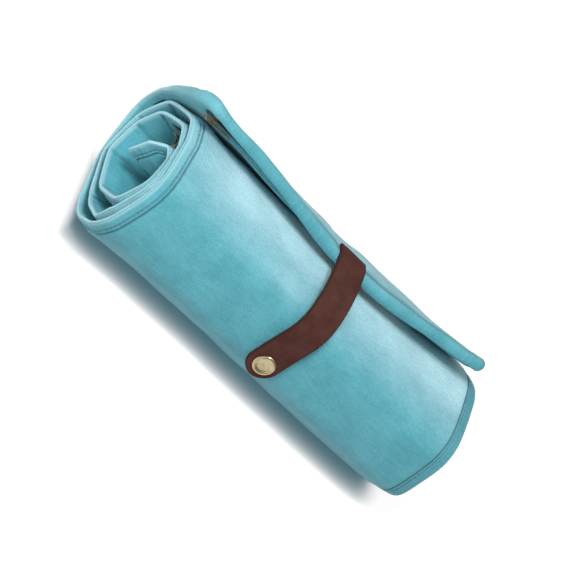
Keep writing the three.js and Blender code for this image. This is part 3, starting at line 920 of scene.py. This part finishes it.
def addRow(name, tree, points, along, up, values):
    mesh = bpy.data.meshes.new(name + "Points")
    mesh.from_pydata([tuple(p) for p in np.asarray(points) * mm], [], [])
    for label, vectors in (("along", along), ("up", up)):
        layer = mesh.attributes.new(label, "FLOAT_VECTOR", "POINT")
        layer.data.foreach_set("vector", np.asarray(vectors, np.float32).ravel())
    obj = bpy.data.objects.new(name, mesh)
    scene.collection.objects.link(obj)
    modifier = obj.modifiers.new("row", "NODES")
    modifier.node_group = tree
    for item in tree.interface.items_tree:
        if item.in_out == "INPUT" and item.name in values:
            modifier[item.identifier] = values[item.name]
    bpy.context.view_layer.update()
    made = bpy.data.meshes.new_from_object(obj.evaluated_get(bpy.context.evaluated_depsgraph_get()))
    obj.modifiers.clear()
    obj.data = made
    bpy.data.meshes.remove(mesh)
    return obj


# stitches of the hem, on both faces at both ends, and across the tab
stitchSet = {"Length": 2.3 * mm, "Width": 0.42 * mm, "Height": 0.42 * mm, "sink": 0.02}
stitchTree = makeRowTree("stitchRow", "bead", stitchSet)


def rowPoints(line, normals, pitch):
    run = lengthAlong(line)
    at = np.arange(pitch / 2, run[-1], pitch)
    ahead = (pick(line, run, at + 0.4) - pick(line, run, at - 0.4)).T
    ahead /= np.linalg.norm(ahead, axis=1, keepdims=True)
    return pick(line, run, at).T, ahead, pick(normals, run, at).T


def addHemStitches(name, low, high, s):
    first, last = rowsBetween(matU, max(low, 5.0), min(high, matLength - 5.0))
    normals = matSheet["normals"]
    near = [j for j, (_, e) in enumerate(ringColumns(matSet)) if abs(e - matSet["hemStitch"]) < 0.05]
    spans = [(slice(first, last + 1), j) for j in near]
    if low == 0:
        tabRows = slice(first, int(np.searchsorted(matU, panelStart[1] - 3)))
        spans += [(tabRows, liningStart + faceColumns - 1 - j) for j in near]
        across = slice(liningStart + 26, liningStart + faceColumns - 26)
        spans.append((int(np.searchsorted(matU, 6.0)), across))
    found = [rowPoints(matGrid[span], normals[span], matSet["stitchPitch"]) for span in spans]
    points, along, up = (np.concatenate([f[i] for f in found]) for i in range(3))
    return addRow(name, stitchTree, points + up * s["sink"], along, up, {**s, "Finish": thread})


for name, low, high, bodies, nodes, shares in matPieces:
    rowObj = addHemStitches(name + "Stitches", low, high, stitchSet)
    rideOrBlend(rowObj, bodies)
print("stitches made")


# the strap: from its seam on the flap over the free edge, in an arch down to the snap
strapSet = {
    "facing": (115, 85, 57, 20),
    "seamBack": 8.0,
    "pastSnap": 9.85,
    "halfWidth": 9.5,
    "halfThick": 1.0,
    "round": 0.6,
    "soft": 7.5,               # smoothing of the arch
    "root": (14.0, 2.0),       # length of the sewn end, and its smoothing
    "tip": (12.0, 0.6),        # over what length it comes down flat, and from which share of that
    "bulge": (2.1, 4.0, 13.0), # swell of the arch, how far before the last bend, and its half length
}


def jointAt(name):
    found = next(j for j in frame["joints"] if j["name"] == name)
    return np.array(found["pos_m"][1:]) / mm - np.array([centreY, centreZ])


def nodeCentre(name):
    low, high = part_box(name)
    return np.array((low + high) / 2) / mm


def strapLine(s):
    places = [jointAt(n) for n in ("strap_open", "strap_open", "strap_mid_bend", "strap_tip_bend")]
    lines = [(a, p @ wayOut(a) - s["halfThick"]) for a, p in zip(s["facing"], places)]
    corners = [meet(lines[i], lines[i + 1]) for i in range(3)]
    start = corners[0] - wayOn(s["facing"][0]) * s["seamBack"]
    cap = nodeCentre("snap_cap")[1:] - np.array([centreY, centreZ])
    run = (cap - corners[2]) @ wayOn(s["facing"][3]) + s["pastSnap"]
    points, marks = walk([start] + corners + [corners[2] + wayOn(s["facing"][3]) * run])
    line = smoothLine(points, s["soft"])
    index = np.arange(len(points))
    flatRun, flatFrom = s["tip"]
    rootRun, rootSoft = s["root"]
    keep = ease((index - marks[3][0]) * lineStep / flatRun - flatFrom)[:, None]
    edge = ease(1 - index * lineStep / rootRun)[:, None]
    tight = smoothLine(points, rootSoft)
    line = line * (1 - edge) + tight * edge
    line = line * (1 - keep) + points * keep
    run = lengthAlong(line)
    top = run[marks[3][0]]
    tangent = np.gradient(line, run, axis=0)
    normal = np.column_stack([tangent[:, 1], -tangent[:, 0]])
    high, before, reach = s["bulge"]
    line = line + normal * high * bump(run - top + before, reach)[:, None]
    return run, line, [run[m[1]] for m in marks]


strapRun, strapPath, strapMiddles = strapLine(strapSet)


def buildStrap(s):
    end = strapRun[-1]
    tip = s["halfWidth"]
    q = tip * (1 - np.cos(np.linspace(0.08, math.pi / 2, 22)))[::-1]
    u = np.concatenate([np.arange(0, end - tip - 0.4, 0.7), end - q])
    y, z, ty, tz = pathFrame(u, strapRun, strapPath, 0.3)
    before = np.clip(tip - end + u, 0, tip)
    half = np.sqrt(np.maximum(tip ** 2 - before ** 2, 0.01))
    across = np.linspace(-1, 1, 29)
    bend = np.radians(np.linspace(90, -90, 9)[1:-1])
    spots = [(a, 0, 1.0) for a in across] + [(1, math.cos(b), math.sin(b)) for b in bend]
    spots += [(a, 0, -1.0) for a in across[::-1]] + [(-1, math.cos(b), math.sin(b)) for b in bend[::-1]]
    grid = np.zeros((len(u), len(spots), 3))
    edge = np.zeros((len(u), len(spots)))
    for j, (a, out, n) in enumerate(spots):
        inner = np.maximum(half - s["round"], 0.02)
        x = a * inner + (math.copysign(out, a) * np.minimum(s["round"], half) if out else 0)
        crown = 0.12 * (1 - (x / tip) ** 2) * np.sign(n)
        height = n * s["halfThick"] + crown * (abs(n) == 1)
        press = 0.10 * bump(np.abs(x) - (half - 1.6), 0.35) * (n == 1)
        height = height - press
        grid[:, j] = np.column_stack([strapX + x, y + tz * height, z - ty * height])
        edge[:, j] = 1.0 if out else ease((np.abs(x) - inner + 0.35) / 0.4)
    under = len(across) + len(bend)
    return closedSheet(u, grid, {"edgePaint": edge}, 20, len(across) // 2, under + len(across) // 2)


def capStrap(row, ring, flip):
    end = [row * ring + j for j in range(ring)]
    return [tuple(end[::-1] if flip else end)]


strapSheet = buildStrap(strapSet)
strapPieces = [
    ("strapRoot", 0, strapMiddles[1], ("flap_edge", "strap_root"),
     ["strap_anchor", "strap_root"], (0.3, 0.85)),
    ("strapMid", strapMiddles[1], strapMiddles[2], ("strap_root", "strap_mid"), ["strap_mid"], (0.15, 0.85)),
    ("strapTip", strapMiddles[2], strapRun[-1], ("strap_mid", "strap_tip"), ["strap_tip"], (0.08, 0.4)),
]
for name, low, high, bodies, nodes, shares in strapPieces:
    piece = addSheetPiece(name, strapSheet, low, high, capStrap, leather)
    rideOrBlend(piece, bodies)
    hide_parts(*nodes)
print("strap made, length", round(strapRun[-1], 1))


# turned brass: the snap's cap and the two studs
capProfile = [(0.0, 1.30), (3.3, 1.32), (3.9, 1.40), (4.3, 1.66), (4.75, 1.86), (5.2, 1.90), (5.65, 1.78),
              (6.0, 1.48), (6.2, 1.05), (6.25, 0.55), (6.2, 0.15), (6.0, 0.0), (0.0, 0.0)]
studProfile = [(0.0, 1.95), (1.5, 1.93), (2.05, 1.8), (2.28, 1.5), (2.22, 1.2), (1.95, 0.95), (1.95, 0.75),
               (2.3, 0.66), (4.2, 0.62), (4.75, 0.52), (5.0, 0.3), (4.95, 0.05), (4.6, 0.0), (0.0, 0.0)]


def addTurned(name, profile, base, way, material, sides=56):
    way = way.normalized()
    right = Vector((1, 0, 0))
    ahead = way.cross(right)
    angles = [2 * math.pi * k / sides for k in range(sides)]
    spokes = [right * math.cos(a) + ahead * math.sin(a) for a in angles]
    verts = [(base + spoke * r + way * h) * mm for r, h in profile[1:-1] for spoke in spokes]
    rows = len(profile) - 2
    faces = [tuple(f) for f in gridFaces(rows, sides)[:, ::-1]]
    for h, first, turned in ((profile[0][1], 0, False), (profile[-1][1], (rows - 1) * sides, True)):
        tip = len(verts)
        verts.append((base + way * h) * mm)
        for k in range(sides):
            pair = (first + k, first + (k + 1) % sides)
            faces.append((tip, *(pair[::-1] if turned else pair)))
    return addMesh(name, verts, faces, material)


def facing(angle):
    return Vector((0, *wayOut(angle)))


# a node's centre, moved along a direction to a distance from the roll's middle
def seatOf(nodeName, way, reach):
    centre = Vector(nodeCentre(nodeName))
    return centre - way * ((centre.y - centreY) * way.y + (centre.z - centreZ) * way.z - reach)


snapFacing = strapSet["facing"][3]
tipTop = jointAt("strap_tip_bend") @ wayOut(snapFacing) + 0.05
turnedPieces = [
    ("snapCap", "snap_cap", "strap_tip", capProfile, snapFacing, tipTop, snapBrass),
    ("snapStud", "snap_stud", "roll", studProfile, outerLines[19][0], outerLines[19][1] + 0.3, litStudBrass),
    ("spareStud", "spare_stud", "roll", studProfile, outerLines[17][0], outerLines[17][1] + 0.3, litStudBrass),
]
for name, nodeName, body, profile, angle, reach, material in turnedPieces:
    way = facing(angle)
    piece = addTurned(name, profile, seatOf(nodeName, way, reach), way, material)
    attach(piece, body)
    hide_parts(nodeName)
print("snap made")


# the zips: woven tapes and metal teeth in their troughs in the lining
zipSet = {
    "tape": (0.45, 5.55),
    "tapeLevel": -1.2,
    "tapeThick": 0.45,
    "pitch": 1.3,
    "teethOff": 0.85,
    "teethLevel": -1.45,
    "peel": 9.0,              # of the flap's slider, between those of the flap's two ends
    "Length": 0.62 * mm,
    "Width": 2.3 * mm,
    "Height": 1.1 * mm,
}
toothTree = makeRowTree("zipTeeth", "block", zipSet)
zipHomes = {"flap": "flap_edge", "back": "flap_back", "core": "roll"}


# where a zip runs: its middle, and its ends to the left and right of that
def zipRun(label):
    return float(sheetMiddle(np.array([zipAt[label]]))[0]), *matSet["zipEnds"][label]


def addTape(label, s):
    middle, left, right = zipRun(label)
    x = np.linspace(0.3 - left, right - 0.3, 72) + middle
    steps = np.linspace(*s["tape"], 5)
    offs = np.concatenate([steps, steps[::-1]])
    levels = np.repeat([s["tapeLevel"] - s["tapeThick"], s["tapeLevel"]], len(steps))
    xx, level = np.meshgrid(x, levels, indexing="ij")
    last = len(offs) - 1
    verts, faces, lay = [], [], []
    for side in (-1, 1):
        base = len(verts)
        uu = zipAt[label] + side * offs * zipNarrow(label, xx, middle)
        verts += list(sheetPoint(uu, xx, level).reshape(-1, 3) * mm)
        lay += list(np.stack([xx.ravel(), uu.ravel()], axis=1) * mm)
        walls = gridFaces(*xx.shape) + base
        faces += list(walls[:, ::-1] if side > 0 else walls)
        for row, back in ((0, side < 0), (len(x) - 1, side > 0)):
            first = base + row * len(offs)
            for j in range(len(steps) - 1):
                quad = (first + j, first + j + 1, first + last - 1 - j, first + last - j)
                faces.append(quad[::-1] if back else quad)
    tape = addMesh(f"{label}ZipTape", verts, faces, tapeCloth, smooth=False)
    addUv(tape, "lay", lay)
    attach(tape, zipHomes[label])
    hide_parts(f"zip_{label}_tape_lower", f"zip_{label}_tape_upper")


def addTeeth(label, s):
    middle, left, right = zipRun(label)
    points, along, up = [], [], []
    for side in (-1, 1):
        x = np.arange(2.3 - left, right - 2.3, s["pitch"]) + middle + (side + 1) * s["pitch"] / 4
        u = np.full_like(x, zipAt[label] + side * s["teethOff"])
        here = sheetPoint(u, x, np.full_like(x, s["teethLevel"]))
        points.append(here)
        along.append(sheetPoint(u, x + 0.5, np.full_like(x, s["teethLevel"])) - here)
        up.append(sheetPoint(u, x, np.full_like(x, s["teethLevel"] - 0.5)) - here)
    points, along, up = (np.concatenate(v) for v in (points, along, up))
    teeth = addRow(f"{label}ZipTeeth", toothTree, points, along, up, {**s, "Finish": shadedZipBrass})
    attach(teeth, zipHomes[label])
    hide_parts(f"zip_{label}_teeth_lower", f"zip_{label}_teeth_upper")


for label in zipHomes:
    addTape(label, zipSet)
    addTeeth(label, zipSet)


# the flap's slider and pull sit where the flap stands off
def addLifted(name, nodeName, body):
    mesh = frame["nodes"][nodeName].data.copy()
    co = np.zeros(len(mesh.vertices) * 3)
    mesh.vertices.foreach_get("co", co)
    co = co.reshape(-1, 3) / mm
    _, dy, dz = endShift(matLength, co[:, 0].mean())
    peel, opened = math.radians(zipSet["peel"]), math.radians(matSet["edgeOpen"][0])
    y, z = turnFlap(matLength, co[:, 1] + dy, co[:, 2] + dz, peel, opened)
    mesh.vertices.foreach_set("co", (np.stack([co[:, 0], y, z], axis=1) * mm).ravel())
    mesh.materials.clear()
    mesh.materials.append(shadedZipBrass)
    obj = bpy.data.objects.new(name, mesh)
    scene.collection.objects.link(obj)
    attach(obj, body)
    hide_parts(nodeName)
    return obj


liftedPieces = [("flapSlider", "zip_flap_slider"), ("flapPull", "zip_flap_pull")]
softened = [addLifted(name, nodeName, "flap_slider") for name, nodeName in liftedPieces]
print("zips made")


# the floor and the light
stageSet = {
    "floor": (0.93, 0.94, 0.95, 1),
    "bounce": (0.60, 0.61, 0.62, 1),   # the floor's colour for the light that it throws back
    "size": 6.0,
    "level": -0.0004,
    "glow": (0.85, 1.1),               # share and strength of the white that the camera sees
    "reach": 0.0135,                   # of the painted shadow beside the roll
    "fade": 2.9,
    # colour of the painted contact shadow
    "contact": (0.04, 0.12, 0.155, 1),
    "lit": (-0.004, 0.03),             # behind the roll and past its left end there is no shadow
    "litLeft": (0.102, 0.113),
    "world": 0.3,
    "aim": (0, 0, 0.04),
}
# name, place, size, power, and the light that the lamp leaves out
lamps = [
    ("keyAbove", (-0.62, -0.3, 1.29), 0.4, 15.2, "visible_glossy"),
    ("fillFront", (-0.8, -1.2, 0.8), 1.2, 5.2, None),
    ("glossAbove", (0.0, 0.24, 1.45), 0.5, 15.0, "visible_diffuse"),
]


def floorLook(tree, s):
    # painted contact shadow: ambient occlusion near the roll darkens the white that the camera sees towards
    # the shadow tint
    near = addNode(tree, "ShaderNodeAmbientOcclusion", {"Distance": s["reach"]}, samples=16)
    close = math2(tree, "POWER", near.outputs["AO"], s["fade"])
    spot = addNode(tree, "ShaderNodeSeparateXYZ", {0: objectPlace(tree)})
    close = math2(tree, "MAXIMUM", close, ramp(tree, spot.outputs["Y"], *s["lit"]))
    left = math2(tree, "SUBTRACT", 0.0, spot.outputs["X"])
    close = math2(tree, "MAXIMUM", close, ramp(tree, left, *s["litLeft"]))
    tint = mixColour(tree, close, s["contact"], (1, 1, 1, 1))
    glow = addNode(tree, "ShaderNodeEmission", {"Color": tint, "Strength": s["glow"][1]})
    path = addNode(tree, "ShaderNodeLightPath")
    seen = math2(tree, "MAXIMUM", path.outputs["Is Camera Ray"], path.outputs["Is Glossy Ray"])
    seen = math2(tree, "MAXIMUM", seen, path.outputs["Is Transmission Ray"])
    share = math2(tree, "MULTIPLY", seen, s["glow"][0])
    matt = tree.nodes["Principled BSDF"].outputs[0]
    mix = addNode(tree, "ShaderNodeMixShader", {0: share, 1: matt, 2: glow.outputs[0]})
    tree.links.new(mix.outputs[0], tree.nodes["Material Output"].inputs["Surface"])
    return {"Base Color": mixColour(tree, seen, s["bounce"], s["floor"]), "Roughness": 0.9}


def addFloor(s):
    size, level = s["size"], s["level"]
    verts = [(-size, -size, level), (size, -size, level), (size, size, level), (-size, size, level)]
    material = makeMaterial("floorPale", floorLook, s)
    floor = addMesh("floor", verts, [(0, 1, 2, 3)], material, smooth=False)
    floor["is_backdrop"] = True


def addArea(name, place, size, power, without):
    data = bpy.data.lights.new(name, "AREA")
    data.size, data.energy = size, power
    lamp = bpy.data.objects.new(name, data)
    lamp.location = place
    lamp.rotation_mode = "QUATERNION"
    lamp.rotation_quaternion = (Vector(stageSet["aim"]) - Vector(place)).to_track_quat("-Z", "Y")
    if without:
        setattr(lamp, without, False)
    scene.collection.objects.link(lamp)


addFloor(stageSet)
for lampSet in lamps:
    addArea(*lampSet)
world = bpy.data.worlds.new("studio")
world.use_nodes = True
sky = world.node_tree.nodes["Background"]
sky.inputs["Color"].default_value = (1, 1, 1, 1)
sky.inputs["Strength"].default_value = stageSet["world"]
scene.world = world
scene.view_settings.view_transform = "Standard"
print("stage set")


# better finishes and softened edges on the solids that stay
edgeSet = {"weld": 0.01 * mm, "width": 0.12 * mm, "segments": 2, "angle": 40}
for nodeName in sorted(frame["nodes"]):
    node = frame["nodes"][nodeName]
    if node.hide_render:
        continue
    node.data.materials.clear()
    node.data.materials.append(shadedZipBrass if nodeName.startswith("zip") else snapBrass)
    softened.append(node)
for obj in softened:
    weld = obj.modifiers.new("weld", "WELD")
    weld.merge_threshold = edgeSet["weld"]
    bevel = obj.modifiers.new("bevel", "BEVEL")
    bevel.width, bevel.segments = edgeSet["width"], edgeSet["segments"]
    bevel.limit_method, bevel.angle_limit = "ANGLE", math.radians(edgeSet["angle"])
print("solids finished", [o.name for o in softened])

low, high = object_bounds()
